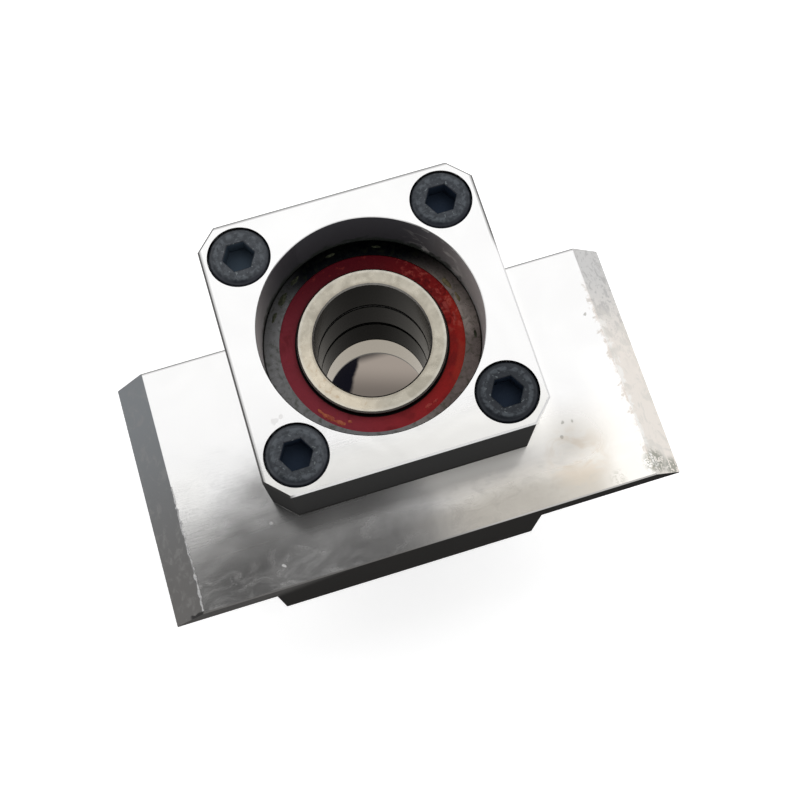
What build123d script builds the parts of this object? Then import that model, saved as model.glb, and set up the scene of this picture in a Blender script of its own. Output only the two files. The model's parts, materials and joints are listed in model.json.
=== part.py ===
from build123d import *
from math import radians, sqrt, tan
import os

# Servo motor mount: a T-shaped bearing housing with a square motor flange screwed to its front.
# It lies on its rear face, Z = 0, with the bore axis along +Z and the base face towards -Y.
# All sizes are in millimetres.

os.makedirs("parts", exist_ok=True)

# Bearing stack, from the rear: rear bearing, spacers, middle bearing, front bearing
shaft_diameter = 25.0
bearing_diameter = 47.0
bearing_width = 12.0
spacer_width = 12.0
inner_shoulder = 1.35
outer_shoulder = 1.25
ring_chamfer = 0.35
front_ring_proud = 1.5
ball_diameter = 6.35
ball_count = 10
race_conformity = 0.52
race_clearance = 0.02
cage_gap = 0.6
cage_seal_gap = 0.1
pocket_clearance = 0.12

# Contact seals of the bearings
seal_recess = 0.35
seal_web = 0.6
seal_lip = 0.7
seal_lip_depth = 1.0
seal_groove = 0.7
seal_lip_clearance = 0.05
seal_groove_clearance = 0.03

# Housing
rear_lip_depth = 2.0
rear_lip_width = 3.0
wing_reach = 27.0
wing_rise = 10.5
wing_bevel = 7.0
wing_land = 1.0
foot_height = 14.0
foot_width = 60.0
foot_depth = 30.0
foot_offset = -5.0
seat_clearance = 0.01
edge_chamfer = 0.4
wing_edge_break = 0.3

# Square flange, with the walls that its counterbores leave towards the bore and the outside
flange_depth = 20.0
flange_corner = 4.5
flange_rim = 1.35
screw_web = 0.95
pilot_depth = 12.0
mouth_chamfer = 0.15
seam_chamfer = 0.25

# Cap screws
screw_diameter = 8.0
screw_length = 35.0
head_diameter = 13.0
head_height = 8.0
head_proud = 0.4
head_fillet = 1.5
key_size = 6.0
key_depth = 4.0
key_chamfer = 0.15
screw_hole_clearance = 0.5
head_clearance = 0.15
thread_clearance = 0.02
thread_spare = 3.0
drill_point_angle = 118.0

# Levels along the bore axis
stack_base = rear_lip_depth
rear_seat = stack_base
spacer_seat = rear_seat + bearing_width
middle_seat = spacer_seat + spacer_width
front_seat = middle_seat + bearing_width
front_face = front_seat + bearing_width + pilot_depth
body_depth = front_face - flange_depth
bearing_seats = {"rear": rear_seat, "middle": middle_seat, "front": front_seat}

# Radii worked out from the bearing sizes
shaft_radius = shaft_diameter / 2
bearing_radius = bearing_diameter / 2
housing_bore_radius = bearing_radius + seat_clearance
pitch_radius = (shaft_radius + bearing_radius) / 2
ball_radius = ball_diameter / 2
inner_land_radius = pitch_radius - ball_radius + inner_shoulder
outer_land_radius = pitch_radius + ball_radius - outer_shoulder
inner_ring_wall = inner_land_radius - shaft_radius
outer_ring_wall = bearing_radius - outer_land_radius
race_radius = race_conformity * ball_diameter
race_shift = race_radius - ball_radius - race_clearance
rear_opening_radius = housing_bore_radius - rear_lip_width

# Seats of the seals in the outer rings
seal_seat_radius = outer_land_radius + seal_groove
seal_outer_radius = seal_seat_radius - seal_groove_clearance
seal_inner_radius = inner_land_radius + seal_lip_clearance
seal_groove_width = seal_web + 2 * seal_groove_clearance
seal_stack = seal_recess + seal_groove_clearance + seal_lip_depth
cage_length = bearing_width - 2 * (seal_stack + cage_seal_gap)

# Screw square and flange worked out from the bore and the screw heads
head_bore_radius = head_diameter / 2 + head_clearance
screw_spacing = sqrt(2) * (housing_bore_radius + screw_web + head_bore_radius)
flange_width = screw_spacing + 2 * (head_bore_radius + flange_rim)
head_seat = front_face + head_proud - head_height

# Tapped holes for the screws
thread_radius = screw_diameter / 2 + thread_clearance
thread_depth = screw_length - (head_seat - body_depth) + thread_spare
drill_point = thread_radius / tan(radians(drill_point_angle / 2))

# Wing and foot
axis_height = flange_width / 2 + foot_height
wing_depth = wing_bevel + wing_land
wing_half_width = flange_width / 2 + wing_reach
wing_rear = body_depth - wing_depth
wing_face_half_width = wing_half_width - wing_bevel


def export_piece(piece, name):
    piece.part.label = name
    export_step(piece.part, f"parts/{name}.step")


# Housing: square body round the bore, bevelled wing across its front, foot below the body
with BuildPart() as housing:
    with BuildSketch() as body_outline:
        Rectangle(flange_width, flange_width)
        chamfer(body_outline.vertices(), flange_corner)
    extrude(amount=body_depth)
    with BuildSketch(Plane.XY.offset(body_depth - foot_depth)):
        with Locations((foot_offset, -axis_height)):
            Rectangle(foot_width, foot_height + flange_corner, align=(Align.CENTER, Align.MIN))
    extrude(amount=foot_depth)
    with BuildSketch(Plane.XZ.offset(axis_height)):
        with BuildLine():
            Polyline(
                (wing_half_width, wing_rear),
                (wing_half_width, wing_rear + wing_land),
                (wing_face_half_width, body_depth),
                (-wing_face_half_width, body_depth),
                (-wing_half_width, wing_rear + wing_land),
                (-wing_half_width, wing_rear),
                close=True,
            )
        make_face()
    extrude(amount=-(axis_height + wing_rise))
    rear_edges = housing.faces().sort_by(Axis.Z)[0].edges()
    chamfer(rear_edges, edge_chamfer)
    front_face_rows = housing.faces().sort_by(Axis.Z)[-1].edges().filter_by(Axis.X).group_by(Axis.Y)
    chamfer(front_face_rows[0] + front_face_rows[1], wing_edge_break)
    with Locations((0, 0, body_depth)):
        CounterBoreHole(rear_opening_radius, housing_bore_radius, body_depth - rear_lip_depth)
    with Locations((0, 0, body_depth)):
        with GridLocations(screw_spacing, screw_spacing, 2, 2):
            Hole(thread_radius, depth=thread_depth)
    with Locations((0, 0, body_depth - thread_depth)):
        with GridLocations(screw_spacing, screw_spacing, 2, 2):
            Cone(
                0,
                thread_radius,
                drill_point,
                align=(Align.CENTER, Align.CENTER, Align.MAX),
                mode=Mode.SUBTRACT,
            )
export_piece(housing, "housing")

# Square flange with the motor pilot and four counterbored screw holes
with BuildPart() as front_flange:
    with BuildSketch(Plane.XY.offset(body_depth)) as flange_outline:
        Rectangle(flange_width, flange_width)
        chamfer(flange_outline.vertices(), flange_corner)
    extrude(amount=flange_depth)
    chamfer(front_flange.faces().sort_by(Axis.Z)[-1].edges(), edge_chamfer)
    chamfer(front_flange.faces().sort_by(Axis.Z)[0].edges(), seam_chamfer)
    with Locations((0, 0, front_face)):
        Hole(housing_bore_radius, depth=flange_depth)
    mouth = front_flange.faces().sort_by(Axis.Z)[-1].edges().filter_by(GeomType.CIRCLE)
    chamfer(mouth, mouth_chamfer)
    with Locations((0, 0, front_face)):
        with GridLocations(screw_spacing, screw_spacing, 2, 2):
            CounterBoreHole(
                screw_diameter / 2 + screw_hole_clearance,
                head_bore_radius,
                front_face - head_seat,
                depth=flange_depth,
            )
export_piece(front_flange, "front_flange")

# Socket head cap screws
screw_places = GridLocations(screw_spacing, screw_spacing, 2, 2).locations
for number, place in enumerate(screw_places, start=1):
    screw_plane = Plane(origin=(place.position.X, place.position.Y, head_seat))
    with BuildPart(screw_plane) as cap_screw:
        Cylinder(head_diameter / 2, head_height, align=(Align.CENTER, Align.CENTER, Align.MIN))
        fillet(cap_screw.edges().sort_by(Axis.Z)[-1], head_fillet)
        Cylinder(screw_diameter / 2, screw_length, align=(Align.CENTER, Align.CENTER, Align.MAX))
        chamfer(cap_screw.edges().sort_by(Axis.Z)[0], edge_chamfer)
        with BuildSketch(screw_plane.offset(head_height)):
            RegularPolygon(key_size / 2, 6, major_radius=False)
        extrude(amount=-key_depth, mode=Mode.SUBTRACT)
        key_edges = cap_screw.faces().sort_by(Axis.Z)[-1].edges().filter_by(GeomType.LINE)
        chamfer(key_edges, key_chamfer)
    export_piece(cap_screw, f"cap_screw_{number}")


def make_outer_ring(seat):
    middle = seat + bearing_width / 2
    with BuildPart() as ring:
        with BuildSketch(Plane.XZ) as section:
            with Locations((outer_land_radius, seat)):
                Rectangle(outer_ring_wall, bearing_width, align=(Align.MIN, Align.MIN))
            outside = section.vertices().group_by(Axis.X)[-1]
            chamfer(outside, ring_chamfer)
            with Locations((pitch_radius - race_shift, middle)):
                Circle(race_radius, mode=Mode.SUBTRACT)
            for inset in (seal_recess, bearing_width - seal_recess - seal_groove_width):
                with Locations((outer_land_radius, seat + inset)):
                    Rectangle(
                        seal_groove,
                        seal_groove_width,
                        align=(Align.MIN, Align.MIN),
                        mode=Mode.SUBTRACT,
                    )
        revolve(axis=Axis.Z)
    return ring


def make_inner_ring(seat, proud):
    middle = seat + bearing_width / 2
    with BuildPart() as ring:
        with BuildSketch(Plane.XZ) as section:
            with Locations((shaft_radius, seat)):
                Rectangle(inner_ring_wall, bearing_width + proud, align=(Align.MIN, Align.MIN))
            chamfer(section.vertices(), ring_chamfer)
            with Locations((pitch_radius + race_shift, middle)):
                Circle(race_radius, mode=Mode.SUBTRACT)
        revolve(axis=Axis.Z)
    return ring


def make_cage(seat):
    middle = seat + bearing_width / 2
    pocket_radius = ball_radius + pocket_clearance
    with BuildPart() as cage:
        with BuildSketch(Plane.XY.offset(middle - cage_length / 2)):
            Circle(outer_land_radius - cage_gap)
            Circle(inner_land_radius + cage_gap, mode=Mode.SUBTRACT)
        extrude(amount=cage_length)
        with Locations((0, 0, middle)):
            with PolarLocations(0, ball_count):
                Cylinder(
                    pocket_radius,
                    bearing_radius,
                    rotation=(0, 90, 0),
                    align=(Align.CENTER, Align.CENTER, Align.MIN),
                    mode=Mode.SUBTRACT,
                )
    return cage


def make_balls(seat):
    with BuildPart() as balls:
        with Locations((0, 0, seat + bearing_width / 2)):
            with PolarLocations(pitch_radius, ball_count):
                Sphere(ball_radius)
    return balls


def make_seal(face, inward):
    side = Align.MIN if inward > 0 else Align.MAX
    with BuildPart() as seal:
        with BuildSketch(Plane.XZ):
            outside = face + inward * (seal_recess + seal_groove_clearance)
            with Locations((seal_inner_radius, outside)):
                Rectangle(seal_outer_radius - seal_inner_radius, seal_web, align=(Align.MIN, side))
                Rectangle(seal_lip, seal_lip_depth, align=(Align.MIN, side))
        revolve(axis=Axis.Z)
    return seal


# Sealed bearings; the front inner ring is longer, and its face stands clear of the seal
for name, seat in bearing_seats.items():
    proud = front_ring_proud if name == "front" else 0
    export_piece(make_outer_ring(seat), f"{name}_outer_ring")
    export_piece(make_inner_ring(seat, proud), f"{name}_inner_ring")
    export_piece(make_cage(seat), f"{name}_cage")
    export_piece(make_balls(seat), f"{name}_balls")
    export_piece(make_seal(seat + bearing_width, -1), f"{name}_upper_seal")
    export_piece(make_seal(seat, 1), f"{name}_lower_seal")

# Spacers between the middle and the rear bearing
with BuildPart() as inner_spacer:
    with BuildSketch(Plane.XY.offset(spacer_seat)):
        Circle(inner_land_radius)
        Circle(shaft_radius, mode=Mode.SUBTRACT)
    extrude(amount=spacer_width)
    chamfer(inner_spacer.edges(), ring_chamfer)
export_piece(inner_spacer, "inner_spacer")

with BuildPart() as outer_spacer:
    with BuildSketch(Plane.XY.offset(spacer_seat)):
        Circle(bearing_radius)
        Circle(outer_land_radius, mode=Mode.SUBTRACT)
    extrude(amount=spacer_width)
    chamfer(outer_spacer.edges(), ring_chamfer)
export_piece(outer_spacer, "outer_spacer")
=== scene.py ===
import json
from math import atan2, cos, pi, sin, sqrt

import bmesh
import bpy
from mathutils import Matrix, Vector, noise as field


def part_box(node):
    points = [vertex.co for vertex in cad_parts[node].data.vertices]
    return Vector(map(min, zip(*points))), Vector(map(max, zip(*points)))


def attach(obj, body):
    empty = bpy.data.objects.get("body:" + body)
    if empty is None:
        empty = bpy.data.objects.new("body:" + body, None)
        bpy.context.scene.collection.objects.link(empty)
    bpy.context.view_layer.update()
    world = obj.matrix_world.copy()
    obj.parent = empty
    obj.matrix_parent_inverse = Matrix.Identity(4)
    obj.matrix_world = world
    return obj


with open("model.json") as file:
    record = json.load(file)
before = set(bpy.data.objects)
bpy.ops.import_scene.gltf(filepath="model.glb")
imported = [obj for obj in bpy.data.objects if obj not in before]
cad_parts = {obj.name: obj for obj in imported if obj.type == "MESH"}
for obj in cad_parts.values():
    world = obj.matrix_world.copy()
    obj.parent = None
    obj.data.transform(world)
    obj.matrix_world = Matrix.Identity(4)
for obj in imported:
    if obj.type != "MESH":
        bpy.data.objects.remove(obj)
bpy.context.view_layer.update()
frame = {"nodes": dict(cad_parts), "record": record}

# Servo motor mount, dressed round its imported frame. Lengths are in metres unless a name ends in _MM.
# Inside a material, places and ranges are in millimetres: x to the right, y up, z out of the front faces.
NODES = frame["nodes"]
MM = 0.001

# Places worked out from the frame, where a box is a low and a high corner
HIGH = 1
housing_low, housing_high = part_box("housing")
rear_ring_low, rear_ring_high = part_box("rear_inner_ring")
screw_low, screw_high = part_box("cap_screw_1")
outer_ring_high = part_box("front_outer_ring")[HIGH]
shaft_bore = next(mount for mount in frame["record"]["mounts"] if mount["name"] == "shaft_bore")
SHAFT_RADIUS_MM = shaft_bore["dims"]["r_mm"]
RING_RADIUS_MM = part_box("front_inner_ring")[HIGH].x / MM
BORE_RADIUS_MM = outer_ring_high.x / MM
BEARING_FACE_MM = outer_ring_high.z / MM
SEAL_FACE_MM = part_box("front_upper_seal")[HIGH].z / MM
MIDDLE_RING_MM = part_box("middle_inner_ring")[HIGH].z / MM
SPACER_HIGH_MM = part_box("inner_spacer")[HIGH].z / MM
REAR_RING_MM = rear_ring_high.z / MM
REAR_RING_LOW_MM = rear_ring_low.z / MM
FLANGE_HALF_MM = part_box("front_flange")[HIGH].x / MM
WING_FRONT_MM = housing_high.z / MM
WING_BOTTOM_MM = housing_low.y / MM
HEAD_TOP_MM = screw_high.z / MM
SCREW_AXIS_MM = abs(screw_low.x + screw_high.x) / 2 / MM

# Sizes of the part that no box of the frame gives
WING_TOP_MM = 10.5
BEVEL_MM = 7.0
SOCKET_MM = 3.6
WING_FACE_HALF_MM = housing_high.x / MM - BEVEL_MM

# Camera at the photograph's viewing angle
CAMERA_PLACE = Vector((-16.869, -78.012, 291.271)) * MM
CAMERA_LOOK = Vector((0.07471, 0.25531, -0.96397))
CAMERA_UP = Vector((0.28479, 0.92095, 0.26599))
CAMERA_LENS = 53.41
SENSOR_WIDTH = 36.0


def tree_of(*values):
    """The node tree that the first socket among the values belongs to."""
    return next(value.id_data for value in values if isinstance(value, bpy.types.NodeSocket))


def give(tree, socket, value):
    """Links a socket to another one, or sets it to a constant."""
    if isinstance(value, bpy.types.NodeSocket):
        tree.links.new(value, socket)
    else:
        socket.default_value = value


def add(tree, kind, inputs=None, **settings):
    """One shader node, with its settings and its inputs given as values or sockets."""
    made = tree.nodes.new(kind)
    for key, value in settings.items():
        setattr(made, key, value)
    for key, value in (inputs or {}).items():
        give(tree, made.inputs[key], value)
    return made


def maths(operation, first, second=0.0):
    tree = tree_of(first, second)
    return add(tree, "ShaderNodeMath", {0: first, 1: second}, operation=operation).outputs[0]


def plus(first, second):
    return maths("ADD", first, second)


def minus(first, second):
    return maths("SUBTRACT", first, second)


def times(first, second):
    return maths("MULTIPLY", first, second)


def ease(value, start, end):
    """0 before start, 1 after end, smooth between them; start may lie above end."""
    limits = {"Value": value, "From Min": min(start, end), "From Max": max(start, end)}
    made = add(tree_of(value), "ShaderNodeMapRange", limits, interpolation_type="SMOOTHSTEP")
    risen = made.outputs[0]
    return risen if start <= end else minus(1.0, risen)


def both(*masks):
    product = masks[0]
    for mask in masks[1:]:
        product = times(product, mask)
    return product


def either(*masks):
    most = masks[0]
    for mask in masks[1:]:
        most = maths("MAXIMUM", most, mask)
    return most


# Inputs and output of a mix node that is set to colours
FIRST_COLOUR, SECOND_COLOUR = 6, 7
MIXED_COLOUR = 2


def colour_mix(factor, first, second):
    inputs = {"Factor": factor, FIRST_COLOUR: first, SECOND_COLOUR: second}
    return add(tree_of(factor), "ShaderNodeMix", inputs, data_type="RGBA").outputs[MIXED_COLOUR]


def number_mix(factor, first, second):
    inputs = {"Factor": factor, "A": first, "B": second}
    return add(tree_of(factor), "ShaderNodeMix", inputs, data_type="FLOAT").outputs[0]


def noise(vector, scale, detail=4.0, roughness=0.55, distortion=0.0):
    grain = {"Scale": scale, "Detail": detail, "Roughness": roughness, "Distortion": distortion}
    return add(tree_of(vector), "ShaderNodeTexNoise", {"Vector": vector, **grain}).outputs[0]


def stretched(vector, scale):
    inputs = {0: vector, 1: scale}
    return add(tree_of(vector), "ShaderNodeVectorMath", inputs, operation="MULTIPLY").outputs[0]


def tint(red, green, blue):
    return (red, green, blue, 1.0)


def grey(value, warm=0.0):
    return tint(value * (1 + warm), value, value * (1 - warm))


# The middle of what a noise texture gives
NOISE_MIDDLE = 0.5

# A ragged mark of size 1: how far its outline sways, and where it fades in
SPOT_SWAY = 2.2
SPOT_FADE = (1.15, 0.7)


class Surface:
    """A material under construction: its places in millimetres, its normal and its shader."""

    def __init__(self, name):
        self.material = bpy.data.materials.new(name)
        self.material.use_nodes = True
        self.tree = self.material.node_tree
        self.shader = self.tree.nodes["Principled BSDF"]
        source = add(self.tree, "ShaderNodeTexCoord").outputs
        inputs = {0: source["Object"], "Scale": 1 / MM}
        self.place = add(self.tree, "ShaderNodeVectorMath", inputs, operation="SCALE").outputs[0]
        self.x, self.y, self.z = add(self.tree, "ShaderNodeSeparateXYZ", {0: self.place}).outputs
        normal = add(self.tree, "ShaderNodeSeparateXYZ", {0: source["Normal"]})
        self.nx, self.ny, self.nz = normal.outputs
        self.radius = self.length(self.x, self.y)
        self.colour = None
        self.rough = None

    def length(self, dx, dy):
        return maths("SQRT", plus(times(dx, dx), times(dy, dy)))

    def away_from(self, x, y):
        return self.length(minus(self.x, x), minus(self.y, y))

    def paint(self, colour, *masks, amount=1.0):
        """Lays a colour over what there is, where all the masks say."""
        mask = both(*masks)
        if amount != 1.0:
            mask = times(mask, amount)
        self.colour = colour_mix(mask, self.colour, colour)

    def roughen(self, rough, mask):
        self.rough = number_mix(mask, self.rough, rough)

    def spot(self, x, y, size, wobble):
        """A ragged round mark about a place on the front faces."""
        start, end = SPOT_FADE
        ragged = plus(self.away_from(x, y), times(minus(wobble, NOISE_MIDDLE), size * SPOT_SWAY))
        return ease(ragged, size * start, size * end)

    def about(self, x, y, outer, inner, wobble=0.0):
        """1 within inner of a place on the front faces, fading to 0 at outer."""
        return ease(plus(self.away_from(x, y), wobble), outer, inner)

    def bump(self, height, depth, under=None):
        """A normal from a height; depth is in millimetres, and under is a normal to start from."""
        inputs = {"Height": height, "Strength": 1.0, "Distance": depth * MM}
        if under is not None:
            inputs["Normal"] = under
        return add(self.tree, "ShaderNodeBump", inputs).outputs[0]

    def finish(self, normal, **values):
        """Hands the colour, the roughness, the normal and the named inputs to the shader."""
        values = {"Base_Color": self.colour, "Roughness": self.rough, "Normal": normal, **values}
        for name, value in values.items():
            give(self.tree, self.shader.inputs[name.replace("_", " ")], value)
        return self.material


# Fades over one part of a face's normal, from where a mask starts to where it is full
FRONTAL = (0.9, 0.97)
FORWARD = (0.4, 0.6)
LEFTWARD = (-0.45, -0.65)
RIGHTWARD = (0.45, 0.65)
UPWARD = (0.3, 0.5)
DOWNWARD = (-0.45, -0.65)
EDGE_NOT_DOWNWARD = (-0.62, -0.5)
EDGE_DOWNWARD = (-0.5, -0.62)
NOT_RIGHTWARD = (0.6, 0.4)
UPRIGHT = (0.3, 0.1)
WALL_UPRIGHT = (0.5, 0.2)
ROUNDED = (0.95, 0.85)

# How the milled steel's noises are drawn out across the wing
MILLED_STRETCH = (0.35, 6.0, 6.0)
SMEAR_STRETCH = (0.25, 1.0, 1.0)
MOTTLE_STRETCH = (0.7, 1.0, 1.0)

STEEL = {
    "milled": grey(0.735, 0.003),
    "milled light": grey(0.765, 0.003),
    "outer wing": tint(0.82, 0.815, 0.8),
    "yellowed": tint(0.8, 0.755, 0.68),
    "light smear": grey(0.9, 0.01),
    "dark smear": grey(0.4, 0.02),
    "dark mottle": grey(0.42, 0.02),
    "painted shade left": grey(0.55, 0.015),
    "left corner shade": grey(0.36, 0.01),
    "lower corner shade": grey(0.34, 0.015),
    "contact shade": grey(0.3, 0.01),
    "left toe shade": grey(0.36, 0.015),
    "right toe shade": tint(0.47, 0.44, 0.39),
    "painted light below flange": tint(1.0, 0.98, 0.94),
    "painted light flange rim": tint(0.95, 0.94, 0.91),
    "flange edge": grey(0.3, 0.01),
    "wing edge": grey(0.4, 0.01),
    "dent": grey(0.9),
    "speck": tint(0.3, 0.3, 0.27),
    "pale speck": grey(0.5, 0.02),
    "brown film": tint(0.66, 0.56, 0.45),
    "left bevel": grey(0.15, 0.03),
    "left bevel top": tint(0.225, 0.238, 0.25),
    "left scuff": grey(0.28, 0.02),
    "foul corner": grey(0.015),
    "right bevel": tint(0.9, 0.85, 0.795),
    "right bevel top": grey(0.66, 0.01),
    "worn edge": tint(0.62, 0.575, 0.53),
    "right mottle": grey(0.42, 0.015),
    "wiped": tint(0.98, 0.96, 0.93),
    "bevel film": tint(0.76, 0.735, 0.69),
    "stain": tint(0.26, 0.27, 0.22),
    "faint stain": tint(0.36, 0.36, 0.28),
    "broken edge": grey(0.13, 0.02),
    "corner edge": grey(0.035, 0.02),
    "low edge": grey(0.14, 0.03),
    "low edge right": grey(0.5, 0.03),
    "flange underside": grey(0.042, 0.01),
    "wing underside": grey(0.028, 0.04),
    "lit underside": grey(0.1, 0.03),
    "recess low": tint(0.42, 0.4, 0.395),
    "recess high": tint(0.06, 0.058, 0.065),
    "recess streak": grey(0.5, 0.03),
    "grime": tint(0.03, 0.036, 0.03),
}

# Small marks on the front faces: x, y and size
DENTS_MM = ((-31.6, -29.8, 0.35), (-31.4, -39.3, 0.4))
SPECKS_MM = ((34.7, -27.2, 0.45), (36.7, -27.5, 0.4), (33.4, -30.2, 0.4), (47.5, -5.2, 0.4))
PALE_SPECKS_MM = ((-24.4, -14.0, 0.7), (-22.8, -13.6, 0.5), (3.8, -22.7, 0.35))


class MachinedSteel(Surface):
    """Bright milled steel: cloudy front faces, bevels and undersides with painted light and shade, nicks and
    a worn edge.
    """

    def __init__(self):
        super().__init__("machined_steel")
        drawn_out = stretched(self.place, SMEAR_STRETCH)
        mottled = stretched(self.place, MOTTLE_STRETCH)
        self.cloud = noise(self.place, scale=0.05, detail=5.0, roughness=0.6, distortion=1.2)
        self.fine = noise(self.place, scale=0.45, detail=6.0, roughness=0.6, distortion=0.6)
        self.speck = noise(self.place, scale=1.1, detail=3.0, roughness=0.6)
        self.nick = noise(self.place, scale=0.9, detail=3.0, roughness=0.6, distortion=1.0)
        self.smear = noise(drawn_out, scale=0.3, detail=4.0, roughness=0.65, distortion=0.8)
        self.mottle = noise(mottled, scale=0.22, detail=5.0, roughness=0.62, distortion=1.4)
        self.width = maths("ABSOLUTE", self.x)
        self.front = ease(self.nz, *FRONTAL)
        self.facing = ease(self.nz, *FORWARD)
        self.within_flange = ease(self.width, FLANGE_HALF_MM + 0.6, FLANGE_HALF_MM + 0.3)
        self.on_wing = ease(self.z, WING_FRONT_MM + 2.0, WING_FRONT_MM + 1.0)
        self.wing = both(self.front, self.on_wing)
        above_wing = ease(self.z, WING_FRONT_MM + 1.0, WING_FRONT_MM + 2.0)
        self.flange_face = both(self.front, self.within_flange, above_wing)
        self.low_wing = both(self.wing, ease(self.y, -20.0, -34.0))
        self.low_rim = both(self.flange_face, ease(self.y, -20.0, -27.0))
        self.colour = colour_mix(ease(self.cloud, 0.3, 0.7), STEEL["milled"], STEEL["milled light"])
        self.rough = number_mix(ease(self.cloud, 0.25, 0.75), 0.13, 0.16)

    def wing_tones(self):
        """Handled and clouded low down, yellowed to the right of the middle, and darkened at the left by
        painted shade.
        """
        x, y, low = self.x, self.y, self.low_wing
        ends = ease(self.width, 40.0, 46.0)
        self.paint(STEEL["outer wing"], self.wing, ends, ease(y, -10.0, -18.0), amount=0.8)
        across = plus(x, times(self.cloud, 20.0))
        self.paint(STEEL["yellowed"], low, ease(across, 4.0, 24.0), ease(x, 60.0, 36.0), amount=0.7)
        clouded = both(low, ease(x, 40.0, 26.0))
        self.paint(STEEL["light smear"], low, ease(self.smear, 0.48, 0.7), amount=0.12)
        self.paint(STEEL["dark smear"], clouded, ease(self.smear, 0.48, 0.3), amount=0.14)
        self.paint(STEEL["dark mottle"], clouded, ease(self.mottle, 0.5, 0.32), amount=0.35)
        # Painted shade: the low wing darker towards the left.
        self.paint(STEEL["painted shade left"], low, ease(x, 12.0, -6.0), amount=0.7)

    def wing_patches(self):
        """Grey painted shade at the wing's lower left and along its toe, and painted light in a stretch below
        the flange.
        """
        x, y, wing = self.x, self.y, self.wing
        drift = times(self.cloud, 5.0)
        # Painted shade beside the flange's lower left corner and at the wing's lower left.
        left_shade = self.about(-31.0, -28.0, outer=17.0, inner=8.0, wobble=drift)
        corner_shade = self.about(-40.0, -36.5, outer=13.0, inner=5.0, wobble=drift)
        contact = self.about(-29.5, -23.0, outer=7.0, inner=2.0)
        self.paint(STEEL["left corner shade"], wing, left_shade, amount=0.75)
        self.paint(STEEL["lower corner shade"], wing, corner_shade, amount=0.6)
        self.paint(STEEL["contact shade"], wing, contact, amount=0.5)
        # Painted shade along the wing's toe.
        toe = both(wing, ease(plus(y, drift), -32.5, -37.5), ease(x, -22.0, -8.0), ease(x, 44.0, 36.0))
        toe_shade = colour_mix(ease(x, -8.0, 12.0), STEEL["left toe shade"], STEEL["right toe shade"])
        self.paint(toe_shade, toe, amount=0.8)
        # Painted light below the flange.
        below = both(wing, ease(y, -36.0, -31.5), ease(x, -2.0, 6.0), ease(x, 36.0, 28.0))
        self.paint(STEEL["painted light below flange"], below, amount=0.95)

    def face_edges(self):
        """Painted light on the flange's lower rim, and painted shade in thin bands along the edges, which
        show as lines.
        """
        # Painted light on the flange's lower rim.
        self.paint(STEEL["painted light flange rim"], self.low_rim, amount=0.9)
        # Painted shade in bands along the flange's edges and the wing's top edge.
        left = ease(self.x, 0.9 - FLANGE_HALF_MM, 0.5 - FLANGE_HALF_MM)
        top = ease(self.y, FLANGE_HALF_MM - 0.85, FLANGE_HALF_MM - 0.5)
        right = ease(self.x, FLANGE_HALF_MM - 0.85, FLANGE_HALF_MM - 0.5)
        upper_right = both(right, ease(self.y, 8.0, 12.0))
        self.paint(STEEL["flange edge"], self.flange_face, either(left, top, upper_right), amount=0.7)
        wing_top = ease(self.y, WING_TOP_MM - 0.7, WING_TOP_MM - 0.4)
        self.paint(STEEL["wing edge"], self.wing, wing_top, amount=0.6)

    def marks(self):
        """Dents with painted glints, dark specks, pale ones on the flange, and a brown film."""
        # Painted glints on the dents and on a nicked spot at the lower left.
        for x, y, size in DENTS_MM:
            dent = both(self.front, self.spot(x, y, size, self.speck))
            self.paint(STEEL["dent"], dent, amount=0.35)
            self.roughen(0.5, dent)
        nicked = self.about(-43.0, -39.8, outer=4.0, inner=1.5)
        self.paint(STEEL["dent"], self.wing, nicked, ease(self.nick, 0.56, 0.62), amount=0.35)
        for x, y, size in SPECKS_MM:
            self.paint(STEEL["speck"], self.front, self.spot(x, y, size, self.speck), amount=0.7)
        for x, y, size in PALE_SPECKS_MM:
            pale_speck = self.spot(x, y, size, self.speck)
            self.paint(STEEL["pale speck"], self.flange_face, pale_speck, amount=0.4)
        film = self.about(35.0, -35.5, outer=9.0, inner=3.0)
        self.paint(STEEL["brown film"], self.wing, film, ease(self.mottle, 0.42, 0.6), amount=0.5)

    def left_bevel(self, slant):
        """In painted shade, scuffed, and fouled at its lower corner; returns its mask."""
        left = both(ease(self.nx, *LEFTWARD), slant)
        # Painted shade over the left bevel, lighter towards the top.
        shades = (STEEL["left bevel"], STEEL["left bevel top"])
        self.paint(colour_mix(ease(self.y, -42.0, 8.0), *shades), left)
        self.paint(STEEL["left scuff"], left, ease(self.fine, 0.5, 0.68), amount=0.4)
        fouled = ease(plus(self.y, times(self.fine, 2.4)), -42.1, -42.5)
        self.paint(STEEL["foul corner"], left, ease(self.x, -53.6, -52.8), fouled, amount=0.85)
        return left

    def right_bevel(self, slant):
        """Pale with painted light, with a worn edge beside it, mottled above, filmed and stained below;
        returns its mask.
        """
        x, y, fine = self.x, self.y, self.fine
        right = both(ease(self.nx, *RIGHTWARD), slant)
        ragged = plus(x, times(minus(fine, NOISE_MIDDLE), 6.0))
        beside = ease(ragged, WING_FACE_HALF_MM - 0.8, WING_FACE_HALF_MM + 0.2)
        worn = both(self.front, ease(y, 6.0, -4.0), beside)
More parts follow.
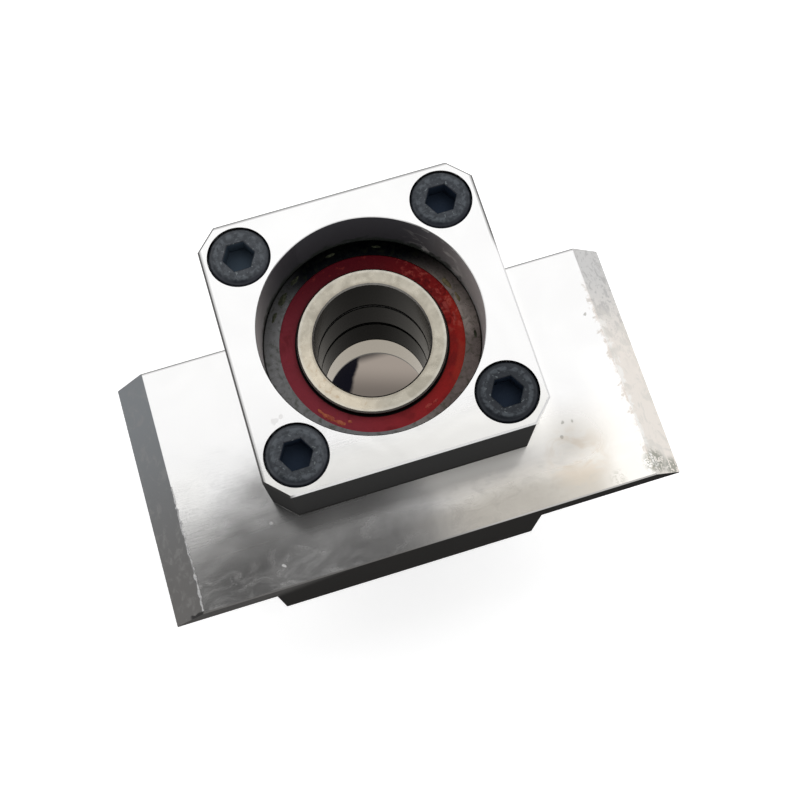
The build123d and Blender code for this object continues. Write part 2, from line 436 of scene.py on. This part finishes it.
        # Painted light over the right bevel, paler lower down.
        shades = (STEEL["right bevel top"], STEEL["right bevel"])
        self.paint(colour_mix(ease(y, 6.0, -16.0), *shades), right)
        self.paint(STEEL["worn edge"], worn)
        mottled = either(ease(fine, 0.5, 0.62), ease(self.speck, 0.56, 0.66))
        self.paint(STEEL["right mottle"], either(right, worn), mottled, ease(y, -24.0, 2.0), amount=0.55)
        wiped = ease(plus(x, times(fine, 7.0)), 54.6, 53.9)
        self.paint(STEEL["wiped"], right, wiped, ease(y, -4.0, -10.0), amount=0.9)
        self.paint(STEEL["bevel film"], right, ease(self.mottle, 0.48, 0.62), ease(y, -2.0, -8.0), amount=0.7)
        near_end = self.about(51.2, -41.0, outer=3.6, inner=1.6)
        at_end = self.about(55.5, -42.6, outer=3.0, inner=1.0)
        stained = either(near_end, at_end)
        self.paint(STEEL["stain"], self.facing, stained, ease(self.nick, 0.44, 0.52), amount=0.75)
        faint = self.about(42.0, -42.4, outer=2.6, inner=0.8)
        self.paint(STEEL["faint stain"], self.facing, faint, ease(self.nick, 0.46, 0.56), amount=0.3)
        return right

    def bevels(self):
        beyond_flange = ease(self.width, FLANGE_HALF_MM + 1.0, FLANGE_HALF_MM + 2.0)
        slant = both(self.facing, beyond_flange)
        left = self.left_bevel(slant)
        right = self.right_bevel(slant)
        self.roughen(0.45, either(left, right))

    def broken_edges(self):
        """The edges' small chamfers show as dark lines of painted shade, the wing's lower one lighter to the
        right.
        """
        # Painted shade on the chamfers, darkest at the flange's lower left corner.
        broken = both(ease(self.nz, 0.45, 0.6), ease(self.nz, 0.92, 0.82))
        left_or_top = either(ease(self.x, 5.0, 0.0), ease(self.y, 6.0, 12.0))
        sideways = both(self.within_flange, ease(self.ny, *EDGE_NOT_DOWNWARD), left_or_top)
        self.paint(STEEL["broken edge"], broken, either(ease(self.ny, *UPWARD), sideways))
        lower_left = (ease(self.x, -24.0, -26.0), ease(self.y, -24.0, -26.0))
        self.paint(STEEL["corner edge"], broken, self.within_flange, *lower_left)
        low_edge = colour_mix(ease(self.x, -10.0, 20.0), STEEL["low edge"], STEEL["low edge right"])
        self.paint(low_edge, broken, self.on_wing, ease(self.ny, *EDGE_DOWNWARD))

    def undersides(self):
        """Faces towards the base in painted shade, with painted light caught at the wing's lower left;
        returns their mask.
        """
        under = both(ease(self.ny, *DOWNWARD), ease(self.nz, *UPRIGHT), ease(self.nx, *NOT_RIGHTWARD))
        # Painted shade on the undersides.
        self.paint(colour_mix(self.on_wing, STEEL["flange underside"], STEEL["wing underside"]), under)
        # Painted light caught at the wing's lower left.
        to_corner = plus(self.z, times(self.x, -0.5))
        lit = (ease(to_corner, 48.0, 57.0), ease(self.y, -42.0, -43.5))
        self.paint(STEEL["lit underside"], under, *lit, amount=0.8)
        self.roughen(0.6, under)
        return under

    def recess_wall(self):
        """Wall of the motor recess: darker towards the top as painted shade, with grime deep down there;
        returns its mask.
        """
        within = ease(self.radius, BORE_RADIUS_MM + 0.6, BORE_RADIUS_MM + 0.3)
        wall = both(ease(self.nz, *WALL_UPRIGHT), within)
        # Painted shade: the wall darker towards the top.
        self.paint(colour_mix(ease(self.y, 20.0, 2.0), STEEL["recess high"], STEEL["recess low"]), wall)
        streaked = (ease(self.x, 12.0, 19.0), ease(self.smear, 0.52, 0.6))
        self.paint(STEEL["recess streak"], wall, *streaked, amount=0.6)
        grimy = ease(minus(self.z, times(self.fine, 7.0)), 48.5, 47.0)
        self.paint(STEEL["grime"], wall, ease(self.y, 2.0, 12.0), grimy, amount=0.85)
        self.roughen(0.4, wall)
        return wall

    def haze(self):
        """Where the wing's low part scatters light rather than mirrors it."""
        fade = number_mix(ease(self.x, -12.0, 5.0), 0.3, 0.92)
        hazy = both(self.low_wing, ease(self.y, -39.0, -31.5), fade, ease(self.x, 46.0, 34.0))
        fingered = both(self.wing, ease(self.y, -12.0, -26.0), ease(self.mottle, 0.42, 0.68))
        fingered = both(fingered, ease(self.x, 34.0, 20.0))
        return either(hazy, times(fingered, 0.3))

    def relief(self):
        """The normal of a slightly wavy face with fine tool marks."""
        tool_marks = stretched(self.place, MILLED_STRETCH)
        milled = noise(tool_marks, scale=0.5, detail=3.0, roughness=0.6, distortion=0.3)
        wave = noise(self.place, scale=0.07, detail=1.5, roughness=0.5, distortion=0.6)
        height = plus(times(milled, 0.6), times(self.fine, 0.4))
        return self.bump(height, depth=0.005, under=self.bump(wave, depth=0.08))


def machined_steel():
    steel = MachinedSteel()
    steel.wing_tones()
    steel.wing_patches()
    steel.face_edges()
    steel.marks()
    steel.bevels()
    steel.broken_edges()
    under = steel.undersides()
    wall = steel.recess_wall()
    dull = either(under, times(wall, 0.85), steel.haze(), times(steel.low_rim, 0.7))
    gloss = number_mix(under, 0.1, 0.0)
    return steel.finish(steel.relief(), Metallic=minus(1.0, dull), Specular_IOR_Level=gloss)


OXIDE = {
    "black": tint(0.022, 0.027, 0.034),
    "blued": tint(0.055, 0.062, 0.073),
    "low side": tint(0.012, 0.014, 0.022),
    "lower right": tint(0.01, 0.013, 0.018),
    "worn": tint(0.1, 0.115, 0.13),
    "chip": tint(0.22, 0.25, 0.26),
    "socket": tint(0.022, 0.035, 0.06),
    "lit socket": tint(0.06, 0.085, 0.115),
}


def black_oxide():
    """Blued-black screw finish, a little greasy, with deep sockets in painted shade and pale chips about
    them.
    """
    skin = Surface("black_oxide")
    fine = noise(skin.place, scale=0.9, detail=5.0, roughness=0.6, distortion=0.3)
    speck = noise(skin.place, scale=1.6, detail=3.0, roughness=0.6)
    off_axis = [minus(maths("ABSOLUTE", value), SCREW_AXIS_MM) for value in (skin.x, skin.y)]
    from_axis = skin.length(*off_axis)
    skin.colour = colour_mix(ease(fine, 0.35, 0.7), OXIDE["black"], OXIDE["blued"])
    skin.rough = number_mix(ease(fine, 0.3, 0.7), 0.28, 0.42)
    # Painted shade on the heads' lower sides.
    skin.paint(OXIDE["low side"], ease(skin.ny, -0.15, -0.5), ease(skin.nz, 0.98, 0.9), amount=0.8)
    skin.paint(OXIDE["lower right"], ease(skin.x, 10.0, 14.0), ease(skin.y, -10.0, -14.0), amount=0.7)
    # A worn ring on each head, partly a painted highlight.
    worn = both(ease(from_axis, 4.2, 4.6), ease(from_axis, 5.5, 5.1), ease(fine, 0.4, 0.58))
    skin.paint(OXIDE["worn"], worn, amount=0.45)
    # Pale chips about the sockets, partly painted glints.
    about_socket = ease(from_axis, SOCKET_MM + 1.5, SOCKET_MM + 0.3)
    skin.paint(OXIDE["chip"], about_socket, ease(speck, 0.6, 0.68), amount=0.5)
    # Painted shade in the sockets, with painted light towards the upper left.
    below_top = ease(skin.z, HEAD_TOP_MM - 0.1, HEAD_TOP_MM - 0.5)
    socket = both(ease(from_axis, SOCKET_MM + 0.1, SOCKET_MM - 0.1), below_top)
    lit = ease(minus(skin.y, skin.x), 0.0, 20.0)
    skin.paint(colour_mix(lit, OXIDE["socket"], OXIDE["lit socket"]), socket, amount=0.95)
    skin.roughen(0.6, socket)
    lustre = number_mix(ease(skin.x, -5.0, 5.0), 0.55, 0.36)
    gloss = number_mix(socket, lustre, 0.1)
    return skin.finish(skin.bump(fine, depth=0.05), Metallic=0.35, Specular_IOR_Level=gloss)


RING = {
    "ground": tint(0.365, 0.338, 0.279),
    "ground light": tint(0.47, 0.437, 0.366),
    "lower left": tint(0.7, 0.62, 0.49),
    "rust": tint(0.4, 0.24, 0.1),
    "inner band": tint(0.3, 0.27, 0.22),
    "bright rim": tint(0.62, 0.6, 0.54),
    "bore left": grey(0.008),
    "bore": grey(0.026),
    "bore right": grey(0.04),
    "rear bore": tint(0.37, 0.345, 0.305),
    "bore foot": grey(0.01),
    "outside": grey(0.008),
    "joint": grey(0.004),
    "rim": grey(0.25, 0.02),
    "outer ring": tint(0.12, 0.12, 0.122),
    "outer ring right": tint(0.19, 0.162, 0.148),
    "outer ring low": tint(0.07, 0.055, 0.052),
    "outer ring high": tint(0.008, 0.009, 0.012),
    "outer grime": tint(0.026, 0.03, 0.014),
}

# How strongly the bearing steel mirrors at a glancing view
SHEEN = {
    "full": grey(1.0),
    "bore left": grey(0.445),
    "bore right": grey(0.5),
    "below spacer": grey(0.41),
    "joint": grey(0.0),
}


class BearingSteel(Surface):
    """Ground ring faces, warm and bright, with a bore in painted shade and a grimy outer ring, partly in
    painted shade.
    """

    def __init__(self):
        super().__init__("bearing_steel")
        self.fine = noise(self.place, scale=0.8, detail=5.0, roughness=0.6, distortion=0.5)
        cloud = noise(self.place, scale=0.2, detail=4.0, roughness=0.6, distortion=1.0)
        self.colour = colour_mix(ease(cloud, 0.35, 0.65), RING["ground"], RING["ground light"])
        self.rough = number_mix(ease(self.fine, 0.3, 0.7), 0.26, 0.38)
        self.deep = ease(self.nz, 0.8, 0.4)
        self.bore = both(self.deep, ease(self.radius, SHAFT_RADIUS_MM + 0.6, SHAFT_RADIUS_MM + 0.2))
        self.rear = ease(self.z, REAR_RING_MM + 0.2, REAR_RING_MM)

    def inner_ring_face(self):
        """Light and yellow at the lower left with a trace of rust, dull at the bore, and a painted highlight
        at the rim.
        """
        lower_left = both(ease(self.x, 0.0, -8.0), ease(self.y, 9.0, -6.0))
        self.paint(RING["lower left"], lower_left, amount=0.75)
        self.paint(RING["rust"], lower_left, ease(self.fine, 0.56, 0.68), amount=0.35)
        front_end = ease(self.z, BEARING_FACE_MM, BEARING_FACE_MM + 1.0)
        inner_band = ease(self.radius, SHAFT_RADIUS_MM + 1.0, SHAFT_RADIUS_MM + 0.5)
        self.paint(RING["inner band"], inner_band, front_end, amount=0.5)
        # Painted highlight at the rim of the inner ring's face.
        bright_rim = ease(self.radius, RING_RADIUS_MM - 1.1, RING_RADIUS_MM - 0.6)
        self.paint(RING["bright rim"], bright_rim, front_end, amount=0.4)

    def walls(self):
        """The bore in painted shade, with painted light where the rear ring catches it, and painted shade on
        the inner ring's outside.
        """
        # Painted shade in the bore, darkest at the left.
        bore_shade = colour_mix(ease(self.x, -11.0, -5.0), RING["bore left"], RING["bore"])
        bore_shade = colour_mix(ease(self.x, 4.0, 11.0), bore_shade, RING["bore right"])
        # Painted light on the rear ring's bore.
        self.paint(colour_mix(self.rear, bore_shade, RING["rear bore"]), self.bore)
        self.roughen(0.24, self.bore)
        # Painted shade at the bore's foot.
        foot = ease(self.z, REAR_RING_LOW_MM + 1.4, REAR_RING_LOW_MM + 1.1)
        self.paint(RING["bore foot"], self.bore, foot)
        # Painted shade on the inner ring's outside.
        self.paint(RING["outside"], self.deep, ease(self.radius, RING_RADIUS_MM - 0.5, RING_RADIUS_MM - 0.2))

    def joints(self):
        """Dark joints between the rings in the bore; returns their mask."""
        near_bore = ease(self.radius, SHAFT_RADIUS_MM + 0.8, SHAFT_RADIUS_MM + 0.5)
        behind_face = ease(self.z, BEARING_FACE_MM, BEARING_FACE_MM - 1.0)
        joint = both(ease(self.nz, *ROUNDED), near_bore, behind_face, ease(self.nz, 0.1, 0.3))
        for level in (SPACER_HIGH_MM, MIDDLE_RING_MM):
            away = maths("ABSOLUTE", minus(self.z, level))
            joint = either(joint, both(self.bore, ease(away, 1.0, 0.4)))
        self.paint(RING["joint"], joint)
        return joint

    def sheen(self, joint):
        """Full in general, weaker on the bore in front of the rear ring, and none in the joints."""
        dim = either(joint, both(self.bore, minus(1.0, self.rear)))
        # Weaker sheen at the bore's left and below the spacer, as painted shade.
        sheen = colour_mix(ease(self.x, -2.0, 11.0), SHEEN["bore left"], SHEEN["bore right"])
        below_spacer = ease(self.z, SPACER_HIGH_MM + 0.4, SPACER_HIGH_MM - 0.4)
        sheen = colour_mix(below_spacer, sheen, SHEEN["below spacer"])
        sheen = colour_mix(joint, sheen, SHEEN["joint"])
        return colour_mix(dim, SHEEN["full"], sheen)

    def rims(self):
        """Painted shade on the inner ring's rounded edges."""
        past_bore = ease(self.radius, SHAFT_RADIUS_MM - 0.1, SHAFT_RADIUS_MM)
        on_ring = ease(self.radius, RING_RADIUS_MM + 0.4, RING_RADIUS_MM + 0.2)
        rim = both(ease(self.nz, *ROUNDED), past_bore, on_ring, ease(self.nz, *FORWARD))
        self.paint(RING["rim"], rim, amount=0.7)

    def outer_ring_face(self):
        """Darker at the top and the lower right, partly painted shade in the recess and partly grease, under
        patches of grime.
        """
        x, y = self.x, self.y
        outer = ease(self.radius, RING_RADIUS_MM + 1.0, RING_RADIUS_MM + 2.0)
        # Partly painted shade, partly grease: lighter to the right, darker at the lower right and darkest at
        # the top.
        self.paint(colour_mix(ease(x, -6.0, 18.0), RING["outer ring"], RING["outer ring right"]), outer)
        self.paint(RING["outer ring low"], outer, ease(x, 2.0, 12.0), ease(y, 0.0, -7.0), amount=0.85)
        self.paint(RING["outer ring high"], outer, ease(y, 8.0, 18.0), ease(x, -19.0, -9.0))
        self.paint(RING["outer grime"], outer, ease(self.fine, 0.48, 0.68), amount=0.5)


def bearing_steel():
    steel = BearingSteel()
    steel.inner_ring_face()
    steel.walls()
    joint = steel.joints()
    steel.rims()
    steel.outer_ring_face()
    relief = steel.bump(steel.fine, depth=0.012)
    return steel.finish(relief, Metallic=1.0, Specular_Tint=steel.sheen(joint))


SEAL = {
    "left": tint(0.25, 0.033, 0.048),
    "right": tint(0.37, 0.018, 0.015),
    "top": tint(0.085, 0.003, 0.009),
    "dark cloud": tint(0.1, 0.005, 0.008),
    "light fleck": tint(0.32, 0.04, 0.03),
    "wet glint band": tint(0.55, 0.06, 0.033),
    "grease glint": tint(0.62, 0.13, 0.1),
    "grease dark": tint(0.09, 0.004, 0.006),
    "lip": grey(0.004),
}


def seal_rubber():
    """Dark red moulded seal under a film of grease with painted glints, in painted shade at its top and
    beside the inner ring.
    """
    skin = Surface("seal_rubber")
    x, y, radius = skin.x, skin.y, skin.radius
    fine = noise(skin.place, scale=0.9, detail=5.0, roughness=0.6, distortion=0.4)
    cloud = noise(skin.place, scale=0.16, detail=3.0, roughness=0.6, distortion=0.8)
    skin.colour = colour_mix(ease(x, -16.0, 20.0), SEAL["left"], SEAL["right"])
    # Painted shade at the seal's top.
    skin.paint(SEAL["top"], ease(y, 4.0, 20.0), amount=0.9)
    skin.rough = number_mix(ease(cloud, 0.4, 0.7), 0.5, 0.3)
    skin.paint(SEAL["dark cloud"], ease(cloud, 0.48, 0.7), amount=0.5)
    skin.paint(SEAL["light fleck"], ease(fine, 0.6, 0.72), amount=0.5)
    # Painted glints on wet grease, in a band at the right.
    band = both(ease(radius, 18.0, 18.8), ease(radius, 20.4, 19.8), ease(x, 12.0, 16.0), ease(y, 8.0, 3.0))
    skin.paint(SEAL["wet glint band"], band, ease(cloud, 0.35, 0.6), amount=0.4)
    # Grease at the right, with painted glints on it.
    greasy = both(ease(x, 9.0, 13.0), ease(y, -5.0, 0.0))
    skin.paint(SEAL["grease glint"], greasy, ease(fine, 0.52, 0.62), amount=0.5)
    skin.paint(SEAL["grease dark"], greasy, ease(fine, 0.46, 0.36), amount=0.6)
    # Painted shade beside the inner ring.
    skin.paint(SEAL["lip"], ease(radius, RING_RADIUS_MM + 0.55, RING_RADIUS_MM + 0.3))
    return skin.finish(skin.bump(fine, depth=0.06), Specular_IOR_Level=0.05)


CAGE_DARK = tint(0.7, 0.62, 0.45)
CAGE_LIGHT = tint(0.82, 0.76, 0.62)


def cage_plastic():
    """Natural moulded plastic of the cages."""
    skin = Surface("cage_plastic")
    fine = noise(skin.place, scale=0.7, detail=4.0, roughness=0.6, distortion=0.3)
    skin.colour = colour_mix(ease(fine, 0.3, 0.7), CAGE_DARK, CAGE_LIGHT)
    skin.rough = 0.45
    return skin.finish(skin.bump(fine, depth=0.02))


def grease(name, first, second, rough, gloss):
    """Bearing grease, uneven."""
    skin = Surface(name)
    fine = noise(skin.place, scale=1.4, detail=4.0, roughness=0.6, distortion=0.5)
    skin.colour = colour_mix(ease(fine, 0.35, 0.65), first, second)
    skin.rough = number_mix(fine, rough, rough + 0.15)
    return skin.finish(skin.bump(fine, depth=0.08), Specular_IOR_Level=gloss)


def burr_steel():
    """Torn bright steel of the burr."""
    skin = Surface("burr_steel")
    fine = noise(skin.place, scale=2.0, detail=4.0, roughness=0.6, distortion=0.5)
    skin.colour = colour_mix(ease(fine, 0.35, 0.6), grey(0.3), grey(0.62))
    skin.rough = 0.55
    return skin.finish(skin.bump(fine, depth=0.05), Metallic=1.0)


def dress():
    """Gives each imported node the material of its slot."""
    makers = {
        "machined_steel": machined_steel,
        "black_oxide": black_oxide,
        "bearing_steel": bearing_steel,
        "seal_rubber": seal_rubber,
        "cage_plastic": cage_plastic,
    }
    finishes = {slot: make() for slot, make in makers.items()}
    for row in frame["record"]["subparts"]:
        piece = NODES[row["node"]]
        piece.data.materials.clear()
        piece.data.materials.append(finishes[row["material_slot"]])


def new_piece(name, mesh, material, body="housing"):
    """Turns a finished mesh into a smooth piece that rides on a body of the frame."""
    piece = bpy.data.objects.new(name, bpy.data.meshes.new(name))
    mesh.to_mesh(piece.data)
    mesh.free()
    for face in piece.data.polygons:
        face.use_smooth = True
    piece.data.materials.append(material)
    bpy.context.scene.collection.objects.link(piece)
    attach(piece, body)


# Domes of grease: how fine they are, how ragged and lumpy, and how deep they are sunk in their face
DOME_RINGS = 6
DOME_SPOKES = 28
DOME_SUNK_MM = 0.02
OUTLINE_SWAY = 0.45
OUTLINE_SCALE = 1.3
OUTLINE_SEED = 7.3
LUMP_SWAY = 0.35
LUMP_SCALE = 1.5
LUMP_SEED = 3.1


def sway(amount, place, scale, seed):
    """A factor about 1 that a smooth noise moves by an amount."""
    return 1 + amount * field.noise(Vector((place[0] * scale, place[1] * scale, seed)))


def smears(name, domes, level_mm, material):
    """Low ragged domes of grease on a level face; each is (x, y, half length, half width, height) in mm."""
    mesh = bmesh.new()
    for number, (x, y, long, wide, high) in enumerate(domes):
        turn = Matrix.Rotation(atan2(y, x) + pi / 2, 2)
        rings = []
        for step in range(1, DOME_RINGS + 1):
            part = step / DOME_RINGS
            ring = []
            for spoke in range(DOME_SPOKES):
                around = 2 * pi * spoke / DOME_SPOKES
                ragged = sway(OUTLINE_SWAY, (cos(around), sin(around)), OUTLINE_SCALE, number * OUTLINE_SEED)
                flat = turn @ Vector((long * part * ragged * cos(around), wide * part * ragged * sin(around)))
                lump = sway(LUMP_SWAY, flat, LUMP_SCALE, number * LUMP_SEED)
                rise = high * sqrt(max(0.0, 1 - part * part)) * lump
                place = Vector((x + flat.x, y + flat.y, level_mm - DOME_SUNK_MM + rise))
                ring.append(mesh.verts.new(place * MM))
            rings.append(ring)
        top = mesh.verts.new(Vector((x, y, level_mm + high)) * MM)
        for spoke in range(DOME_SPOKES):
            following = (spoke + 1) % DOME_SPOKES
            mesh.faces.new((top, rings[0][spoke], rings[0][following]))
            for inner, outer in zip(rings, rings[1:]):
                mesh.faces.new((inner[spoke], outer[spoke], outer[following], inner[following]))
    new_piece(name, mesh, material)


# The burr: its ends along the bevel's edge, its mean size, how far noise sways it, and noise scales and seeds
BURR_STEPS = 150
BURR_FIRST_MM = -16.0
BURR_LAST_MM = WING_BOTTOM_MM + 0.6
BURR_OFFSET_MM = 0.1
BURR_TALL_MM = 0.1
BURR_TALL_SWAY_MM = 0.16
BURR_TEETH_MM = 0.08
BURR_LEAST_TALL_MM = 0.02
BURR_WIDE_MM = 0.2
BURR_WIDE_SWAY_MM = 0.24
BURR_SIDE_SWAY_MM = 0.3
BURR_ROUGH = (0.9, 3.7)
BURR_TEETH = (3.1, 8.1)
BURR_SIDEWAYS = (0.8, 1.3)

# How fast its height and its width swell from the upper end
BURR_TALL_SWELL = 6
BURR_WIDE_SWELL = 4


def ripple(y, scale, seed):
    """A smooth noise along the burr, from about -1 to 1."""
    return field.noise(Vector((y * scale, seed, 0.0)))


def burr_profile(wide, tall):
    """Across the ridge from its left foot to its right one, sideways and upwards."""
    left_foot = (-wide, -min(0.12, wide))
    return (left_foot, (-wide * 0.4, tall * 0.7), (0.0, tall), (wide * 0.5, tall * 0.5), (wide, -0.01))


def burr():
    """A torn ridge along the inner edge of the left bevel, which swells from its upper end."""
    mesh = bmesh.new()
    rows = []
    for step in range(BURR_STEPS + 1):
        along = step / BURR_STEPS
        y = BURR_FIRST_MM + (BURR_LAST_MM - BURR_FIRST_MM) * along
        rough = ripple(y, *BURR_ROUGH)
        tall = BURR_TALL_MM + BURR_TALL_SWAY_MM * rough + BURR_TEETH_MM * ripple(y, *BURR_TEETH)
        tall = max(BURR_LEAST_TALL_MM, tall) * min(1.0, BURR_TALL_SWELL * along)
        wide = BURR_WIDE_MM + BURR_WIDE_SWAY_MM * rough * min(1.0, BURR_WIDE_SWELL * along)
        x = -WING_FACE_HALF_MM + BURR_SIDE_SWAY_MM * ripple(y, *BURR_SIDEWAYS) + BURR_OFFSET_MM
        profile = burr_profile(wide, tall)
        rows.append([mesh.verts.new(Vector((x + dx, y, WING_FRONT_MM + dz)) * MM) for dx, dz in profile])
    for row, following in zip(rows, rows[1:]):
        for corner in range(len(row) - 1):
            mesh.faces.new((row[corner], row[corner + 1], following[corner + 1], following[corner]))
    mesh.faces.new(rows[0])
    mesh.faces.new(rows[-1])
    bmesh.ops.recalc_face_normals(mesh, faces=mesh.faces)
    new_piece("bevel_burr", mesh, burr_steel())


# Domes of each grease: x, y, half length, half width and height
AMBER_DOMES_MM = (
    (-13.5, -13.3, 1.7, 0.5, 0.14),
    (-14.8, -11.6, 0.9, 0.35, 0.12),
    (-11.6, -15.0, 1.3, 0.4, 0.12),
    (-9.6, -15.4, 0.6, 0.3, 0.1),
)
ROSY_DOMES_MM = (
    (17.6, 3.2, 1.6, 0.5, 0.14),
    (18.6, 0.4, 1.1, 0.4, 0.12),
    (16.9, 7.0, 0.9, 0.35, 0.1),
    (7.2, -17.0, 1.0, 0.4, 0.12),
    (9.0, -16.4, 0.6, 0.35, 0.12),
)
OLIVE_DOMES_MM = (
    (19.2, 8.2, 1.7, 0.5, 0.16),
    (20.5, 4.4, 1.2, 0.4, 0.12),
)
DARK_DOMES_MM = (
    (-15.9, 14.8, 1.8, 0.6, 0.18),
    (-18.6, 11.4, 1.2, 0.45, 0.14),
    (-12.2, 18.2, 1.2, 0.4, 0.14),
    (-3.0, 21.7, 1.3, 0.3, 0.1),
    (7.0, 20.7, 0.9, 0.3, 0.1),
    (21.6, -4.6, 1.2, 0.3, 0.1),
)


def leavings():
    """Grease on the front bearing: red on its seal, olive and dark on its outer ring."""
    amber = grease("amber_grease", tint(0.3, 0.04, 0.02), tint(0.46, 0.12, 0.05), rough=0.3, gloss=0.25)
    rosy = grease("rosy_grease", tint(0.34, 0.022, 0.018), tint(0.42, 0.05, 0.04), rough=0.35, gloss=0.2)
    dark = grease("dark_grease", tint(0.022, 0.025, 0.015), tint(0.06, 0.065, 0.04), rough=0.5, gloss=0.08)
    olive = grease("olive_grease", tint(0.09, 0.075, 0.035), tint(0.2, 0.165, 0.09), rough=0.4, gloss=0.15)
    smears("amber_grease", AMBER_DOMES_MM, SEAL_FACE_MM, amber)
    smears("rosy_grease", ROSY_DOMES_MM, SEAL_FACE_MM, rosy)
    smears("olive_grease", OLIVE_DOMES_MM, BEARING_FACE_MM, olive)
    smears("dark_grease", DARK_DOMES_MM, BEARING_FACE_MM, dark)


FLOOR_RADIUS = 4.0
FLOOR_CORNERS = 96
BORE_VIEW_MM = 19.0
BOARD = {
    "lower": tint(0.165, 0.142, 0.124),
    "upper": tint(0.345, 0.298, 0.26),
    "shade": tint(0.07, 0.062, 0.058),
    "left_shadow": tint(0.004, 0.004, 0.008),
    "mirrored": tint(0.8, 0.76, 0.7),
}
TABLE = {
    "dark grain": grey(0.93),
    "light grain": grey(0.95),
    "under bore": grey(0.02),
    "seen glow": grey(0.5),
    "mirrored glow": grey(0.15),
}


def board_through_bore(skin):
    """The brown board that shows through the bore, lighter upwards, with painted shade at its top and a
    painted shadow at its left.
    """
    slanted = plus(skin.x, times(skin.y, -0.56))
    # Painted shadow at the board's left.
    left_shadow = ease(plus(slanted, times(noise(skin.place, scale=0.3), 2.0)), -6.6, -7.9)
    # Lighter upwards as painted light, with painted shade at the top.
    along = plus(skin.y, times(skin.x, 0.35))
    board = colour_mix(ease(along, 2.5, 11.0), BOARD["lower"], BOARD["upper"])
    board = colour_mix(ease(skin.y, 10.8, 13.4), board, BOARD["shade"])
    return colour_mix(left_shadow, board, BOARD["left_shadow"])


def floor():
    """A white table top that keeps the mount's shadow; the patch that only the bore shows glows brown as
    painted light.
    """
    bpy.ops.mesh.primitive_circle_add(vertices=FLOOR_CORNERS, radius=FLOOR_RADIUS, fill_type="NGON")
    disc = bpy.context.object
    disc.name = "floor"
    skin = Surface("floor")
    under_bore = ease(skin.radius, BORE_VIEW_MM + 0.5, BORE_VIEW_MM - 0.5)
    grain = noise(skin.place, scale=0.02, detail=3.0)
    white = colour_mix(ease(grain, 0.3, 0.7), TABLE["dark grain"], TABLE["light grain"])
    skin.colour = colour_mix(under_bore, white, TABLE["under bore"])
    skin.rough = 0.7
    path = add(skin.tree, "ShaderNodeLightPath").outputs
    seen = path["Is Camera Ray"]
    # The patch glows as painted light: the board to the camera, and pale in mirrors, where the rear ring's
    # bore shows it.
    patch = colour_mix(seen, BOARD["mirrored"], board_through_bore(skin))
    table = colour_mix(seen, TABLE["mirrored glow"], TABLE["seen glow"])
    glow = {
        "Emission_Color": colour_mix(under_bore, table, patch),
        "Emission_Strength": either(seen, path["Is Glossy Ray"]),
    }
    disc.data.materials.append(skin.finish(skin.bump(grain, depth=0.01), Specular_IOR_Level=0.2, **glow))


# Soft boxes: name, place, width, height and brightness from left to right as (start, end, rise)
LAMP_HEIGHT = 1.1
LAMPS = (
    ("key", (0.2, 0.72, LAMP_HEIGHT), 1.7, 1.04, ((-0.66, -0.65, 1.165),)),
    ("side", (0.435, -0.2125, LAMP_HEIGHT), 0.81, 0.825, ((0.035, 0.105, 0.7), (0.17, 0.29, 0.5))),
)

# The world's brightness round the horizon and overhead, and the heights between which it falls
HORIZON = grey(0.93)
OVERHEAD = grey(0.15)
WORLD_FADE = (0.45, 0.85)


def softbox(name, place, width, height, profile):
    """A level area light, facing down, whose brightness follows its profile across its width."""
    data = bpy.data.lights.new(name, "AREA")
    data.shape = "RECTANGLE"
    data.size = width
    data.size_y = height
    data.energy = pi * width * height
    data.use_nodes = True
    tree = data.node_tree
    parametric = add(tree, "ShaderNodeNewGeometry").outputs["Parametric"]
    share = add(tree, "ShaderNodeSeparateXYZ", {0: parametric}).outputs[0]
    across = plus(times(share, width), place[0] - width / 2)
    level = 0.0
    for start, end, rise in profile:
        level = plus(times(ease(across, start, end), rise), level)
    tree.links.new(level, tree.nodes["Emission"].inputs["Strength"])
    lamp = bpy.data.objects.new(name, data)
    lamp.location = place
    bpy.context.scene.collection.objects.link(lamp)


def studio():
    """White to the camera, bright at the horizon and dim overhead for the rest, with the soft boxes."""
    world = bpy.data.worlds.new("studio")
    bpy.context.scene.world = world
    world.use_nodes = True
    tree = world.node_tree
    direction = add(tree, "ShaderNodeTexCoord").outputs["Generated"]
    height = add(tree, "ShaderNodeSeparateXYZ", {0: direction}).outputs[2]
    shade = colour_mix(ease(height, *WORLD_FADE), HORIZON, OVERHEAD)
    seen = add(tree, "ShaderNodeLightPath").outputs["Is Camera Ray"]
    tree.links.new(colour_mix(seen, shade, grey(1.0)), tree.nodes["Background"].inputs["Color"])
    for lamp in LAMPS:
        softbox(*lamp)


def camera():
    data = bpy.data.cameras.new("camera")
    data.lens = CAMERA_LENS
    data.sensor_width = SENSOR_WIDTH
    eye = bpy.data.objects.new("camera", data)
    right = CAMERA_LOOK.cross(CAMERA_UP).normalized()
    up = right.cross(CAMERA_LOOK).normalized()
    turn = Matrix((right, up, -CAMERA_LOOK.normalized())).transposed().to_4x4()
    eye.matrix_world = Matrix.Translation(CAMERA_PLACE) @ turn
    bpy.context.scene.collection.objects.link(eye)
    bpy.context.scene.camera = eye


dress()
leavings()
burr()
floor()
studio()
camera()
bpy.context.scene.view_settings.view_transform = "Standard"
